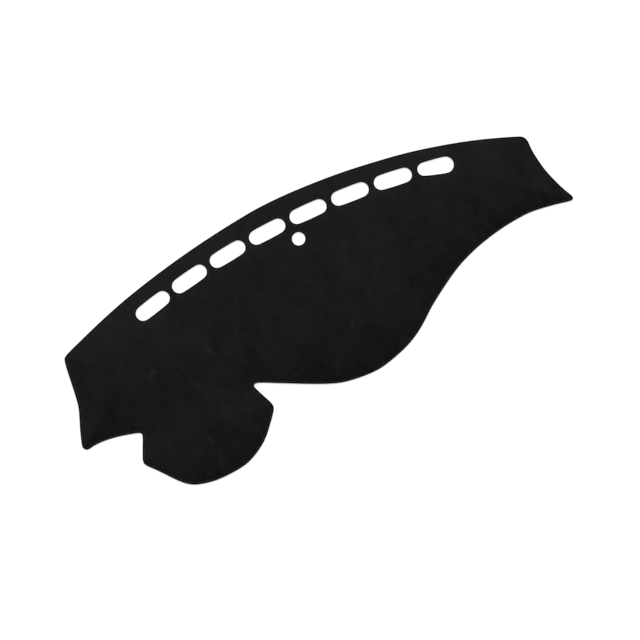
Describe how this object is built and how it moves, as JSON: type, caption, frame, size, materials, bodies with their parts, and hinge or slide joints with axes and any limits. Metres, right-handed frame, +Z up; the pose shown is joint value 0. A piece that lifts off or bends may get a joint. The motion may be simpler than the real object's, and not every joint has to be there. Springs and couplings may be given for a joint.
{
  "type": "dashboard cover mat",
  "caption": "Suede-like cloth mat cut to a car's dashboard top, with defroster slots, a sun sensor hole, overlocked edges and sewn darts that shape it over the instrument hood",
  "frame": {"origin": "Under the middle of the mat's box, on the surface that the mat lies on.", "axes": "+X runs along the windscreen edge from the driver's side to the passenger's side, +Y towards the windscreen and +Z up, out of the napped face."},
  "size_m": [1.3992, 0.5762, 0.0177],
  "materials": {
    "cloth": "matte brushed suede nap",
    "thread": "matte spun yarn"
  },
  "bodies": {
    "root": {"mat_panel": "cloth", "outer_edge_overlock": "thread", "sensor_hole_overlock": "thread", "vent_1_overlock": "thread", "vent_2_overlock": "thread", "vent_3_overlock": "thread", "vent_4_overlock": "thread", "vent_5_overlock": "thread", "vent_6_overlock": "thread", "vent_7_overlock": "thread", "vent_8_overlock": "thread", "hood_left_dart_thread": "thread", "hood_right_dart_thread": "thread", "hood_front_dart_thread": "thread", "centre_dart_thread": "thread"}
  },
  "joints": []
}
